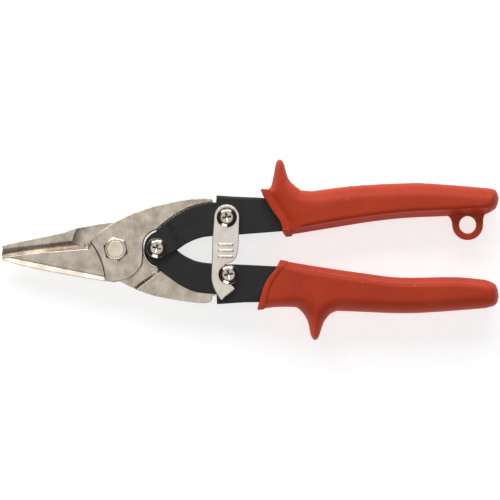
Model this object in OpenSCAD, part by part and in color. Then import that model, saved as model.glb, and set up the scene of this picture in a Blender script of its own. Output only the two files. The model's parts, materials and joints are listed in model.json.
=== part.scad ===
// Aviation snips with compound-action handles, shown closed and latched.
// The tool lies flat: X runs from the blade tip to the handle ends, Z points up from the bench.
// The origin is on the axis of the main pivot, at bench level.

/* [Linkage] */
// Distance from the main pivot to each tail pivot
jaw_arm = 57.6; // [57:0.1:58]
// Distance from the handle pivot to each tail pivot
handle_arm = 38; // [37.6:0.1:38.4]
// Angle of each tail from the tool's centre line when closed
tail_angle = 14.3; // [14:0.1:14.6]
// Angle of the centre line above the X axis
tool_tilt = 1.8; // [1.5:0.1:2]

/* [Jaws] */
// Height of the plane where the blades slide on each other
mid_z = 10; // [10:0.5:12]
// Thickness of each jaw at its boss
boss_t = 4; // [3.8:0.1:4.2]
// Thickness of each jaw's tail between the handle walls
tail_t = 5; // [4.8:0.1:5]
// Depth of the ground blade face below the boss, at the heel
grind_depth = 0.35; // [0.2:0.05:0.5]
// Slope of the ground blade face towards the tip
grind_slope = 1.8; // [1.4:0.1:2]
// Height of the raised pad behind each blade's mating face
pad_h = 1.6; // [1.2:0.1:1.8]

/* [Handles] */
// Thickness of the handle sheet
sheet_t = 2; // [1.8:0.1:2]
// Gap between the inner faces of a handle's walls
channel_w = 5.6; // [5.5:0.1:5.8]
// Overall thickness of a grip
grip_t = 20; // [19:0.5:20]
// Radius of the hole in the hanging loop
hang_r = 4.35; // [4:0.05:4.5]

/* [Latch] */
// Thickness of the latch plate
latch_t = 1.9; // [1.7:0.1:2]
// Width of the latch plate
latch_w = 12.7; // [12:0.1:13]
// Turn of the latch for each degree of jaw opening
latch_ratio = 2; // [1.9:0.05:2]
// Turn of each handle on its jaw for each degree of jaw opening
handle_ratio = 0.325; // [0.32:0.005:0.33]

/* [Fasteners] */
// Radius of the main pivot bolt's shank
bolt_r = 4; // [3.8:0.1:4.2]
// Size across the flats of the main pivot bolt's head
bolt_af = 11.1; // [10.8:0.1:11.2]
// Radius of the handle and tail screws' shanks
screw_r = 3; // [2.8:0.1:3.1]
// Radius of the screws' heads
head_r = 5.1; // [4.9:0.1:5.2]
// Radius of the catch screw's neck, where the latch hooks on
neck_r = 1.6; // [1.5:0.05:1.7]
// Wire diameter of the opening spring
wire_d = 1.5; // [1.4:0.05:1.5]

/* [Hidden] */
$fn = 64;

// Radial clearance of a running fit
run_gap = 0.06;
// Radial clearance of the open handle pivot, where the linkage is cut
open_gap = 0.4;
// Side gap between moving plates
side_gap = 0.1;

// Pivot centres in plan
handle_reach = jaw_arm * cos(tail_angle) - sqrt(pow(handle_arm, 2) - pow(jaw_arm * sin(tail_angle), 2));
main_pivot = [0, 0];
handle_pivot = handle_reach * [cos(tool_tilt), sin(tool_tilt)];
upper_pivot = jaw_arm * [cos(tool_tilt + tail_angle), sin(tool_tilt + tail_angle)];
lower_pivot = jaw_arm * [cos(tool_tilt - tail_angle), sin(tool_tilt - tail_angle)];

// Opening spring's coil in plan, and the round room that the rear jaw leaves for it
coil_centre = [22, -0.6];
coil_r = 7.35;
coil_turns = 2.63;
coil_start = 66;
coil_pitch = 1.51;
coil_steps = 24;
spring_room = coil_r + wire_d / 2 + 0.55;

// Heights above the sliding plane
wall_in = channel_w / 2;
wall_out = wall_in + sheet_t;
arm_in = wall_out + side_gap;
arm_out = arm_in + sheet_t;
washer_t = 0.4;
latch_low = wall_out + washer_t + 0.05;
latch_top = latch_low + latch_t;
head_h = 2.4;
big = 400;

function turn(p, a) = [p[0] * cos(a) - p[1] * sin(a), p[0] * sin(a) + p[1] * cos(a)];

// Points along an arc round a centre
function arc(c, r, from, to, steps = 12) =
    [for (i = [0:steps])
        let (a = from + (to - from) * i / steps)
        c + r * [cos(a), sin(a)]];

// One span of a smooth curve from b to c, whose direction is guided by a and d
function span(a, b, c, d, t) =
    0.5 * (2 * b + (c - a) * t + (2 * a - 5 * b + 4 * c - d) * t * t + (3 * b - a - 3 * c + d) * t * t * t);

// A smooth curve through a few points
function curve(p, steps = 5) =
    let (last = len(p) - 1)
    concat([for (i = [0:last - 1], k = [0:steps - 1])
        span(p[max(i - 1, 0)], p[i], p[i + 1], p[min(i + 2, last)], k / steps)], [p[last]]);

// Place of the catch screw as the latch sees it, at a jaw opening of a degrees
function catch_path(a) =
    upper_pivot + turn(turn(lower_pivot, -a) - upper_pivot, (latch_ratio - handle_ratio) * a);

// ---- shared shapes ----

module at(p, z = 0) {
    translate([p[0], p[1], mid_z + z])
        children();
}

module slab(low, high) {
    translate([0, 0, mid_z + low])
        linear_extrude(high - low)
            children();
}

module hole(p, r) {
    translate([p[0], p[1], -1])
        cylinder(r = r, h = 2 * mid_z + 2);
}

// A domed screw head with a cross recess, standing on z = 0
module screw_head() {
    rim_h = 0.7;
    dome_r = head_r * 0.62;
    recess_len = 4.2;
    recess_w = 0.9;
    recess_h = 1.4;
    difference() {
        rotate_extrude()
            polygon(concat([[0, 0], [head_r, 0], [head_r, rim_h]],
                [for (i = [1:5])
                    [dome_r + (head_r - dome_r) * cos(18 * i), rim_h + (head_h - rim_h) * sin(18 * i)]],
                [[0, head_h]]));
        for (a = [0, 90])
            rotate(a)
                translate([-recess_len / 2, -recess_w / 2, head_h - recess_h])
                    cube([recess_len, recess_w, recess_h + 1]);
    }
}

// A hexagonal nut with chamfered corners, standing on z = 0
module hex_nut(af, h, bore_r) {
    difference() {
        intersection() {
            cylinder(d = af / cos(30), h = h, $fn = 6);
            translate([0, 0, -0.01])
                cylinder(r1 = af / 2 + 0.1, r2 = af / 2 + 0.1 + h + 0.02, h = h + 0.02);
        }
        translate([0, 0, -1])
            cylinder(r = bore_r, h = h + 2);
    }
}

// ---- jaws ----
// A jaw is drawn with its outer face up and its sliding face on the mid plane. side is +1 or -1,
// the side of the X axis that its blade is on.

// Tail beyond the sliding face: a ramp, then the full tail depth
module tail_side(side) {
    ramp_start = 20.4;
    ramp_end = 22.3;
    ramp_angle = 52.8;
    at(main_pivot)
        rotate(-side * ramp_angle + (side < 0 ? 2 * tool_tilt : 0))
            rotate([90, 0, 0])
                linear_extrude(big, center = true)
                    polygon([[ramp_start, 0.1], [ramp_start, 0], [ramp_end, -tail_t / 2],
                             [big, -tail_t / 2], [big, 0.1]]);
}

// Outer face: flat over the boss, then falling towards the end of the tail
module face_side() {
    at(main_pivot)
        rotate([90, 0, 0])
            linear_extrude(big, center = true)
                polygon([[-80, -0.1], [-80, boss_t], [33, boss_t], [46, 2.9], [50, tail_t / 2],
                         [big, tail_t / 2], [big, -0.1]]);
}

// What the grinding wheel takes off a blade's outer face, with a bevel along its back edge
module grind_cut(side) {
    wheel_r = 30.4;
    heel_x = -5.6;
    back_angle = -11.4 * side;
    intersection() {
        at([-36, side * 16.3], boss_t - 3)
            cylinder(r = wheel_r, h = 6, $fn = 160);
        union() {
            at([heel_x, 0], boss_t - grind_depth)
                rotate([0, -grind_slope, 0])
                    translate([-big, -big / 2, 0])
                        cube([big, big, 10]);
            at([heel_x, side * 13.6], boss_t - grind_depth)
                rotate(-back_angle)
                    rotate([-side * 35, -grind_slope, 0])
                        translate([-big, -big / 2, 0])
                            cube([big, big, 10]);
        }
    }
}

// Raised pad behind a blade's mating face. A bevel leads down to the cutting edge, and a round
// scoop leads down to the sliding face where the other jaw's boss swings.
module blade_pad(outline, side, bevel_start, bevel_turn) {
    bevel_w = 3.85;
    scoop_in = 15.5;
    scoop_out = 22.5;
    scoop_w = scoop_out - scoop_in;
    scoop_r = (pow(scoop_w, 2) + pow(pad_h, 2)) / (2 * pad_h);
    scoop_angle = asin(scoop_w / scoop_r);
    pad_end = -9;
    difference() {
        slab(-pad_h, 0.05)
            polygon(outline);
        at(bevel_start, -pad_h)
            rotate([0, 0, bevel_turn])
                rotate([-side * atan2(pad_h, bevel_w), 0, 0])
                    translate([-big, -big, -big])
                        cube([2 * big, 2 * big, big]);
        at(main_pivot)
            rotate_extrude($fn = 120)
                polygon(concat([[0, 0]],
                    arc([scoop_in, -scoop_r], scoop_r, 90, 90 - scoop_angle, 8),
                    [[scoop_out, -pad_h - 1], [0, -pad_h - 1]]));
        at([pad_end, 0], -5)
            translate([0, -big / 2, 0])
                cube([big, big, 5]);
    }
}

// Room on the outer face for a handle arm, whose outer edge is given
module arm_pocket(edge, side) {
    slab(tail_t / 2, 10)
        polygon(concat([for (p = edge) p + [-0.5, -0.5 * side]],
            [[12.5, 30 * side], [big, 30 * side], [big, -28 * side], [50.3, -28 * side]]));
}

module jaw(outline, side, arm_edge, bevel_start, bevel_turn) {
    difference() {
        union() {
            intersection() {
                slab(0, boss_t)
                    polygon(outline);
                face_side();
            }
            intersection() {
                slab(-tail_t / 2, 0.05)
                    polygon(outline);
                tail_side(side);
            }
            blade_pad(outline, side, bevel_start, bevel_turn);
        }
        arm_pocket(arm_edge, side);
        grind_cut(side);
        hole(main_pivot, bolt_r + run_gap);
    }
}

// The upper arm's and lower arm's outer edges, from the grips towards the handle pivot
upper_arm_edge = curve([[50, 23.5], [44, 22.8], [37.4, 20.9], [31.1, 17.7], [26.3, 14.5],
                        [22.5, 11.3], [18.6, 7.6]], 3);
lower_arm_edge = curve([[50.2, -22.4], [44.6, -21.9], [40.1, -21.3], [35.6, -19.7], [30.5, -16.8],
                        [23, -11.3], [19.4, -7.6]], 3);

// Relief in the rear jaw where the cutting edges end
throat = [-14.9, 1.9];
throat_r = 1.1;

front_outline = concat(
    curve([[-57.4, -3.8], [-40, -1.6], [-28, -0.7], [-14, 0.3]], 3),
    curve([[-13.2, 1.9], [-12.2, 4.8], [-5.2, 10.8], [5, 16.6], [17, 21.1], [29, 24], [38, 25.3],
           [46.2, 25.6], [47.9, 24.8], [48.3, 23.5]], 4),
    arc(upper_pivot, 7.4, 100, -95, 16),
    curve([[48, 8.4], [41, 6.9], [33, 4.8], [27.5, 7.9], [20.2, 9.6], [15.6, 7], [13.7, 3.4], [13.4, -3.5],
           [12.2, -9.2], [6.6, -14.4], [-1, -16.5]], 4),
    curve([[-7, -15.9], [-22, -13.3], [-40, -9.9], [-55, -6.2], [-57.1, -4.8]], 3));

rear_outline = concat(
    curve([[-57.2, -3.7], [-40, -2.1], [-14, -1.6]], 3),
    curve([[-13.2, -3], [-12, -6.4], [-4.6, -12.4], [5, -17.8], [17, -22.7], [29, -25.2], [40, -26.8],
           [46.2, -26.6], [47.7, -25.2], [48, -23.4]], 4),
    [[54, -21], [60.4, -18]],
    arc(lower_pivot, 4.4, 0, 90, 8),
    curve([[48, -8.7], [41, -7.7], [34, -6.2], [30, -7.6]], 3),
    arc(coil_centre, spring_room, 305, 205),
    curve([[13.5, -2], [13.4, 1.5], [12.4, 8.2], [6.5, 13.2], [-1, 13.9]], 4),
    curve([[-10, 12.6], [-22, 10.2], [-28, 8.1], [-54.9, 2.5], [-56.6, 0.6], [-57.4, -2.4]], 3));

module front_jaw() {
    color([0.72, 0.68, 0.62])
        difference() {
            jaw(front_outline, -1, upper_arm_edge, [-18.1, -6.1], 3.3);
            hole(upper_pivot, screw_r + run_gap);
        }
}

module rear_jaw() {
    color([0.68, 0.64, 0.6])
        difference() {
            translate([0, 0, 2 * mid_z])
                mirror([0, 0, 1])
                    jaw(rear_outline, 1, lower_arm_edge, [-18.1, 4.9], 6.8);
            hole(lower_pivot, screw_r + run_gap);
            at(throat, -throat_r)
                cylinder(r = throat_r, h = mid_z);
        }
}

// ---- handles ----

// Sheet walls of a handle: front and rear copies of a plan outline
module walls(low, high) {
    for (side = [0, 1])
        mirror_mid(side)
            slab(low, high)
                children();
}

module mirror_mid(flip) {
    translate([0, 0, flip * 2 * mid_z])
        mirror([0, 0, flip])
            children();
}

// The upper arms step outwards near the handle pivot, to lie over the lower arms
module stepped_walls() {
    step_start = 8.7;
    step_end = 13;
    arm_angle = atan2(upper_pivot[1] - handle_pivot[1], upper_pivot[0] - handle_pivot[0]);
    for (side = [0, 1])
        mirror_mid(side)
            intersection() {
                slab(0, 10)
                    children();
                at(handle_pivot)
                    rotate(arm_angle)
                        rotate([90, 0, 0])
                            linear_extrude(big, center = true)
                                polygon([[-20, arm_in], [step_start, arm_in], [step_end, wall_in],
                                         [big, wall_in], [big, wall_out], [step_end + 0.5, wall_out],
                                         [step_start + 0.5, arm_out], [-20, arm_out]]);
            }
}

upper_back = [[50.2, 27], [59, 26.4], [71, 25.9], [80, 25], [92, 25.2], [130, 28.3], [175, 29.3]];
lower_back = [[50.4, -27.4], [64, -26.5], [71, -26.4], [80, -25.6], [92, -26], [130, -28.2], [175, -27.6]];

upper_wall = concat(
    [for (i = [len(upper_back) - 1:-1:0]) upper_back[i]],
    upper_arm_edge,
    arc(handle_pivot, 5.5, 150, 310, 14),
    curve([[27.2, -1.9], [30.4, -0.2], [35, 2.9], [41, 5.5], [47, 6.6], [62, 7.5], [83, 9.1]], 3),
    [[92, 11.5], [130, 18], [175, 19.5]]);

lower_wall = concat(
    [for (i = [len(lower_back) - 1:-1:0]) lower_back[i]],
    lower_arm_edge,
    arc(handle_pivot, 6.4, 225, 145, 8),
    [[16.6, 6.6], [18.3, 7.4]],
    arc(handle_pivot, 6.4, 85, 45, 4),
    curve([[29.2, 0.6], [32, -1.8], [35, -3.7], [40.9, -6.1], [50, -7.2], [62, -7.6], [81, -8.5]], 3),
    [[92, -11.5], [130, -16.5], [175, -17.8]]);

// The web that joins a handle's walls along its back
module web(back, inwards) {
    slab(-wall_out, wall_out)
        polygon(concat(back, [for (i = [len(back) - 1:-1:0]) back[i] + [0, inwards * sheet_t]]));
}

module upper_handle() {
    color([0.22, 0.22, 0.22])
        difference() {
            union() {
                stepped_walls()
                    polygon(upper_wall);
                web(upper_back, -1);
            }
            hole(handle_pivot, screw_r + run_gap);
            hole(upper_pivot, screw_r + run_gap);
        }
}

module lower_handle() {
    color([0.22, 0.22, 0.22])
        difference() {
            union() {
                walls(wall_in, wall_out)
                    polygon(lower_wall);
                web(lower_back, 1);
            }
            hole(handle_pivot, screw_r + open_gap);
            hole(lower_pivot, screw_r + run_gap);
        }
}

// ---- grips ----

upper_grip_outline = concat(
    curve([[72, 30], [74, 26], [77.6, 20], [82, 13.6], [83.4, 8.6], [85, 6.2]], 3),
    curve([[88.2, 6.6], [103.8, 10.1], [127.7, 13.9], [145.7, 15.8], [163.7, 16.6], [176, 17.3], [185, 17.6],
           [189.6, 20.5], [191.1, 25.6], [189.4, 29.7], [184.6, 30.7], [166.7, 32.2], [148, 33.1],
           [118.8, 31.7], [98, 29.1]], 4),
    curve([[92.4, 29.5], [88.6, 32.4], [86.3, 35], [84.8, 39.2], [83.6, 43.6], [81.8, 45], [80, 43.6],
           [78.7, 37], [77, 30]], 3));

lower_grip_outline = concat(
    curve([[82, -5.2], [80, -9.1], [75.6, -14.7], [73.1, -20.3], [70.5, -30.2]], 3),
    curve([[74, -30], [80, -28.9], [88.8, -28.9]], 3),
    curve([[91.8, -30.2], [94.8, -33.9], [96.3, -37.8], [97.4, -43], [99.2, -45.5], [101, -44.2],
           [102.4, -40.3], [103.9, -36.2], [106.8, -32.5], [110.5, -30.8]], 3),
    curve([[121.8, -31.2], [142.7, -32], [160.7, -31.3], [184, -29.5], [189.6, -27.8], [191.1, -23],
           [189.6, -17.6], [184.6, -15.2], [170, -13.9], [142.7, -14.1], [124.8, -12.1], [100.8, -8.6],
           [87, -6.1]], 4));

// A grip body that steps in towards both faces
module grip_body(outline) {
    for (layer = [[0, 6.4], [1.3, 8.6], [3.4, grip_t / 2]])
        slab(-layer[1], layer[1])
            offset(-layer[0], $fn = 24)
                polygon(outline);
}

// The space a handle's tang fills inside its grip
module tang_room(wall) {
    slab(-wall_out, wall_out)
        polygon(wall);
}

loop_centre = [175.9, 12.3];
loop_r = 7.6;
loop_t = 3.6;

module upper_grip() {
    color([0.78, 0.27, 0.17])
        difference() {
            union() {
                grip_body(upper_grip_outline);
                slab(-loop_t / 2, loop_t / 2) {
                    translate(loop_centre)
                        circle(loop_r);
                    polygon([loop_centre + [-loop_r * 1.5, 6], loop_centre + [-loop_r * 0.9, 2],
                             loop_centre + [loop_r * 0.9, 2], loop_centre + [loop_r * 1.5, 6]]);
                }
            }
            hole(loop_centre, hang_r);
            tang_room(upper_wall);
        }
}

module lower_grip() {
    color([0.78, 0.27, 0.17])
        difference() {
            grip_body(lower_grip_outline);
            tang_room(lower_wall);
        }
}

// ---- latch ----

// A point beside the catch screw's path through the latch, at a distance across it
function beside(a, w) =
    let (step = catch_path(a + 1) - catch_path(a))
    catch_path(a) + w * [-step[1], step[0]] / norm(step);

module latch() {
    slot_r = neck_r + 0.25;
    rib = [7.2, 1.2, 0.35];
    rib_centre = [54.8, -0.6];
    rib_pitch = 3;
    color([0.86, 0.82, 0.77])
        difference() {
            union() {
                slab(latch_low, latch_top)
                    polygon(concat(
                        arc(upper_pivot, latch_w / 2, 0, 180, 20),
                        curve([[48.3, 6.7], [47.9, -4.8], [47.6, -13.6], [48.2, -17.4], [50, -21.6],
                               [52.4, -25]], 4),
                        [[53, -25.2], [54.1, -23.9]],
                        curve([[58.7, -20.4], [60, -18.7], [59.6, -17.6]], 3),
                        [lower_pivot],
                        curve([[54, -9.5], [54.2, -7.9], [55.1, -7.2], [58.2, -6], [60.2, -3.4],
                               [61.2, 1]], 4)));
                for (i = [-1:1])
                    at(rib_centre + [0, rib_pitch * i], latch_top)
                        translate([-rib[0] / 2, -rib[1] / 2, -0.1])
                            cube(rib + [0, 0, 0.1]);
            }
            hole(upper_pivot, screw_r + run_gap);
            slab(latch_low - 1, latch_top + 1)
                polygon(concat(
                    [for (a = [0:12]) beside(a, slot_r)],
                    [for (a = [12:-1:0]) beside(a, -slot_r)]));
            hole(lower_pivot, slot_r);
        }
}

module latch_washer() {
    color([0.6, 0.6, 0.6])
        difference() {
            at(upper_pivot, wall_out)
                cylinder(r = 5.2, h = washer_t);
            hole(upper_pivot, screw_r + run_gap);
        }
}

// ---- fasteners and spring ----

nut_af = 9.6;
pivot_nut_af = 13;
pivot_washer_r = 7.6;
pivot_washer_t = 0.8;
tail_nut_t = 3.2;

module pivot_bolt() {
    head_t = 4.2;
    color([0.85, 0.78, 0.66])
        at(main_pivot) {
            translate([0, 0, boss_t])
                rotate(-17)
                    intersection() {
                        cylinder(d = bolt_af / cos(30), h = head_t, $fn = 6);
                        translate([0, 0, -0.01])
                            cylinder(r1 = bolt_af / 2 + 2.4, r2 = bolt_af / 2 - 0.2, h = head_t + 0.02);
                    }
            translate([0, 0, -mid_z])
                cylinder(r = bolt_r, h = mid_z + boss_t + 0.1);
        }
}

module pivot_washer() {
    color([0.6, 0.6, 0.6])
        difference() {
            at(main_pivot, -boss_t - pivot_washer_t)
                cylinder(r = pivot_washer_r, h = pivot_washer_t);
            hole(main_pivot, bolt_r + run_gap);
        }
}

module pivot_nut() {
    color([0.6, 0.57, 0.52])
        at(main_pivot, -mid_z)
            hex_nut(pivot_nut_af, mid_z - boss_t - pivot_washer_t, bolt_r + run_gap);
}

module handle_screw() {
    color([0.5, 0.47, 0.42])
        at(handle_pivot) {
            translate([0, 0, arm_out])
                rotate(-15)
                    screw_head();
            translate([0, 0, -mid_z + 0.4])
                cylinder(r = screw_r, h = mid_z + arm_out - 0.3);
        }
}

module handle_nut() {
    color([0.5, 0.47, 0.42])
        at(handle_pivot, -mid_z)
            hex_nut(nut_af, mid_z - arm_out, screw_r + run_gap);
}

module spring_sleeve() {
    color([0.6, 0.6, 0.6])
        at(handle_pivot)
            difference() {
                cylinder(r = 4.6, h = channel_w - 2 * side_gap, center = true);
                cylinder(r = screw_r + run_gap, h = big, center = true);
            }
}

module upper_tail_screw() {
    color([0.5, 0.47, 0.42])
        at(upper_pivot) {
            translate([0, 0, latch_top + 0.05])
                rotate(10)
                    screw_head();
            translate([0, 0, -wall_out - 3])
                cylinder(r = screw_r, h = wall_out + latch_top + 3.1);
        }
}

module upper_tail_nut() {
    color([0.5, 0.47, 0.42])
        at(upper_pivot, -wall_out - tail_nut_t)
            hex_nut(nut_af, tail_nut_t, screw_r + run_gap);
}

module lower_catch_screw() {
    color([0.5, 0.47, 0.42])
        at(lower_pivot) {
            translate([0, 0, latch_top + 0.05])
                rotate(10)
                    screw_head();
            translate([0, 0, wall_out])
                cylinder(r = neck_r, h = latch_top - wall_out + 0.1);
            translate([0, 0, -wall_out - 3])
                cylinder(r = screw_r, h = 2 * wall_out + 3 + washer_t / 2);
        }
}

module lower_tail_nut() {
    color([0.5, 0.47, 0.42])
        at(lower_pivot, -wall_out - tail_nut_t)
            hex_nut(nut_af, tail_nut_t, screw_r + run_gap);
}

// Torsion spring: turns of wire with a short straight leg at each end. The wire's section has
// this many sides.
sides = 8;

function coil_point(t) =
    let (plan = coil_centre + turn([coil_r, 0], coil_start + 360 * t))
    [plan[0], plan[1], mid_z + coil_pitch * (coil_turns / 2 - t)];

function wire_ring(p, d) =
    let (side = [-d[1], d[0], 0] / norm([d[0], d[1]]))
    [for (k = [0:sides - 1]) p + wire_d / 2 * (cos(360 * k / sides) * side + [0, 0, sin(360 * k / sides)])];

function level(d) = [d[0], d[1], 0] / norm([d[0], d[1]]);

module opening_spring() {
    n = round(coil_turns * coil_steps);
    leg = 4.6;
    coil = [for (i = [0:n]) coil_point(i * coil_turns / n)];
    path = concat(
        [coil[0] + leg * level(coil[0] - coil[1])],
        coil,
        [coil[n] + leg * level(coil[n] - coil[n - 1])]);
    last = len(path) - 1;
    rings = [for (i = [0:last]) each wire_ring(path[i], path[min(i + 1, last)] - path[max(i - 1, 0)])];
    start_cap = [for (k = [0:sides - 1]) k];
    end_cap = [for (k = [sides - 1:-1:0]) last * sides + k];
    walls = [for (i = [0:last - 1], k = [0:sides - 1])
        let (next = (k + 1) % sides)
        [(i + 1) * sides + k, (i + 1) * sides + next, i * sides + next, i * sides + k]];
    color([0.45, 0.45, 0.45])
        polyhedron(rings, concat([start_cap, end_cap], walls));
}

front_jaw();
rear_jaw();
pivot_bolt();
pivot_washer();
pivot_nut();
upper_handle();
lower_handle();
handle_screw();
handle_nut();
spring_sleeve();
opening_spring();
upper_tail_screw();
upper_tail_nut();
lower_catch_screw();
lower_tail_nut();
latch();
latch_washer();
upper_grip();
lower_grip();
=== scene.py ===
import json
import math

import bpy
import numpy as np
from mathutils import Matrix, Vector


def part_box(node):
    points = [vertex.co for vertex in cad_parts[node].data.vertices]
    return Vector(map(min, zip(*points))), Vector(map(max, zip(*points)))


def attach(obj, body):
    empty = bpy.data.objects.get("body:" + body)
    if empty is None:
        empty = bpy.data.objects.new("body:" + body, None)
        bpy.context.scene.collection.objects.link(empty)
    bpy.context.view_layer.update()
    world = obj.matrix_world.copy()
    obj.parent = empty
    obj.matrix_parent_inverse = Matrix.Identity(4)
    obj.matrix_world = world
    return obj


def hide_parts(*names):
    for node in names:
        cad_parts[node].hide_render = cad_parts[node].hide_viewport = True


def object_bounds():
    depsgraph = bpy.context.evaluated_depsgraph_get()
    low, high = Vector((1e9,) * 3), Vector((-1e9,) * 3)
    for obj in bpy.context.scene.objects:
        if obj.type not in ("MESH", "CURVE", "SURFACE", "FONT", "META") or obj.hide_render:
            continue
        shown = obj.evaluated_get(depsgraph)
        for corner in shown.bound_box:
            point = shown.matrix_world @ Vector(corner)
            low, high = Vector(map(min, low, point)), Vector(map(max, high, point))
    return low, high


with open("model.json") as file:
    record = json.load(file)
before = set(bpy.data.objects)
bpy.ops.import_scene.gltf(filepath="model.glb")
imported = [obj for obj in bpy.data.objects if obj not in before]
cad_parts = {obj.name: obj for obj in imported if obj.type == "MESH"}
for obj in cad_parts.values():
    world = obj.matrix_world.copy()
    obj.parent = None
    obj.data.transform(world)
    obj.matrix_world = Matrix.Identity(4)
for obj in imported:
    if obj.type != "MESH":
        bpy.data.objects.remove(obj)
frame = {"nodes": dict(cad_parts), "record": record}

cad_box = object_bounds()
nodes = frame["nodes"]

# Shapes are written in millimetres in the frame of the CAD model, and made in metres.
MM = 0.001
MID_Z = 10.0        # height of the plane where the blades slide


# ---- outlines in plan ----

def curve(points, steps=5):
    """A smooth curve through a few points."""
    p = [np.array(q, float) for q in points]
    last = len(p) - 1
    made = []
    for i in range(last):
        a, b, c, d = p[max(i - 1, 0)], p[i], p[i + 1], p[min(i + 2, last)]
        for k in range(steps):
            t = k / steps
            made.append(0.5 * (2 * b + (c - a) * t + (2 * a - 5 * b + 4 * c - d) * t ** 2
                               + (3 * b - a - 3 * c + d) * t ** 3))
    return made + [p[last]]


def to_line(x, y, line):
    """Distance in plan to an open line."""
    best = None
    for (ax, ay), (bx, by) in zip(line[:-1], line[1:]):
        dx, dy = bx - ax, by - ay
        t = np.clip(((x - ax) * dx + (y - ay) * dy) / max(dx * dx + dy * dy, 1e-12), 0, 1)
        square = (x - ax - t * dx) ** 2 + (y - ay - t * dy) ** 2
        best = square if best is None else np.minimum(best, square)
    return np.sqrt(best)


def within(x, y, outline):
    """True inside a closed outline."""
    odd = np.zeros(np.broadcast(x, y).shape, bool)
    for (ax, ay), (bx, by) in zip(outline, outline[1:] + outline[:1]):
        if ay != by:
            crosses = (ay > y) != (by > y)
            odd ^= crosses & (x < ax + (bx - ax) * (y - ay) / (by - ay))
    return odd


def to_outline(x, y, outline):
    """Signed distance to a closed outline, negative inside."""
    d = to_line(x, y, outline + outline[:1])
    return np.where(within(x, y, outline), -d, d)


# ---- solid fields: negative inside, zero on the surface ----

def smooth_min(a, b, k):
    h = np.clip(0.5 + 0.5 * (b - a) / k, 0, 1)
    return b + (a - b) * h - k * h * (1 - h)


def smooth_max(a, b, k):
    return -smooth_min(-a, -b, k)


def rounded(a, b, r):
    """Where two half spaces meet, with a rounded edge."""
    a, b = a + r, b + r
    return np.hypot(np.maximum(a, 0), np.maximum(b, 0)) + np.minimum(np.maximum(a, b), 0) - r


def skin(field, low, high, step):
    """A quad mesh of a field's surface inside a box: one point in each cell that it crosses."""
    axes = [np.arange(low[i] - 2 * step, high[i] + 3 * step, step) for i in range(3)]
    value = field(axes[0][:, None, None], axes[1][None, :, None], axes[2][None, None, :])
    value = np.broadcast_to(value, [len(a) for a in axes])
    inside = value < 0
    cells = [len(a) - 1 for a in axes]
    total, count = np.zeros((*cells, 3)), np.zeros(cells)
    grid = np.stack(np.meshgrid(*[np.arange(c) for c in cells], indexing="ij"), -1)
    crossings = []
    for axis in range(3):
        u, v = [i for i in range(3) if i != axis]
        near = [slice(None)] * 3
        far = [slice(None)] * 3
        near[axis], far[axis] = slice(0, -1), slice(1, None)
        a, b = value[tuple(near)], value[tuple(far)]
        crossed = inside[tuple(near)] != inside[tuple(far)]
        t = np.where(crossed, a / np.where(crossed, a - b, 1), 0)
        for du in (0, 1):
            for dv in (0, 1):
                pick = [slice(None)] * 3
                pick[u] = slice(du, du + cells[u])
                pick[v] = slice(dv, dv + cells[v])
                hit = crossed[tuple(pick)]
                place = grid.astype(float)
                place[..., axis] += t[tuple(pick)]
                place[..., u] += du
                place[..., v] += dv
                total += place * hit[..., None]
                count += hit
        crossings.append((axis, crossed, inside[tuple(near)]))
    used = count > 0
    index = np.full(cells, -1)
    index[used] = np.arange(used.sum())
    points = total[used] / count[used][:, None] * step + np.array([a[0] for a in axes])
    faces = []
    for axis, crossed, starts_inside in crossings:
        u, v = (axis + 1) % 3, (axis + 2) % 3
        at = np.argwhere(crossed)
        at = at[(at[:, u] > 0) & (at[:, v] > 0) & (at[:, u] < cells[u]) & (at[:, v] < cells[v])]
        back_u, back_v = np.eye(3, dtype=int)[u], np.eye(3, dtype=int)[v]
        quad = np.stack([index[tuple((at - s * back_u - t * back_v).T)]
                         for s, t in ((1, 1), (0, 1), (0, 0), (1, 0))], 1)
        forward = starts_inside[tuple(at.T)]
        faces.append(np.where(forward[:, None], quad, quad[:, ::-1]))
    points = settle(field, points, step)
    return points, np.concatenate(faces)


def settle(field, points, step):
    """Moves points onto the surface of the field, along its slope."""
    nudge = 0.05 * step
    for _ in range(3):
        x, y, z = points.T
        here = field(x, y, z)
        slope = np.stack([field(x + nudge, y, z) - here, field(x, y + nudge, z) - here,
                          field(x, y, z + nudge) - here], 1) / nudge
        move = slope * (here / np.maximum((slope ** 2).sum(1), 0.25))[:, None]
        points = points - np.clip(move, -0.4 * step, 0.4 * step)
    return points


def mesh_object(name, points, faces, place=(0, 0, 0)):
    """A smooth shaded mesh object from points in millimetres."""
    mesh = bpy.data.meshes.new(name)
    mesh.from_pydata(((np.asarray(points) + np.array(place)) * MM).tolist(), [], [list(f) for f in faces])
    mesh.polygons.foreach_set("use_smooth", [True] * len(mesh.polygons))
    mesh.update()
    made = bpy.data.objects.new(name, mesh)
    bpy.context.scene.collection.objects.link(made)
    return made


def piece(made, body, slot, *stands_for):
    """Gives a new piece its finish and the body that it rides on, and hides the CAD nodes that it stands
    for.
    """
    made.data.materials.append(materials[slot])
    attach(made, body)
    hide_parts(*stands_for)


def model(name, field, low, high, step, body, slot, node, place=(0, 0, MID_Z)):
    """Makes a field's solid as the piece that stands for a CAD node."""
    points, faces = skin(field, low, high, step)
    piece(mesh_object(name, points, faces, place), body, slot, node)


def pick_step(full):
    return full


# ---- materials ----

def new_material(name):
    m = bpy.data.materials.new(name)
    m.use_nodes = True
    tree = m.node_tree
    return m, tree, tree.nodes["Principled BSDF"]


def add(tree, kind, **settings):
    n = tree.nodes.new(kind)
    for key, value in settings.items():
        if key in n.inputs:
            n.inputs[key].default_value = value
        else:
            setattr(n, key, value)
    return n


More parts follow.
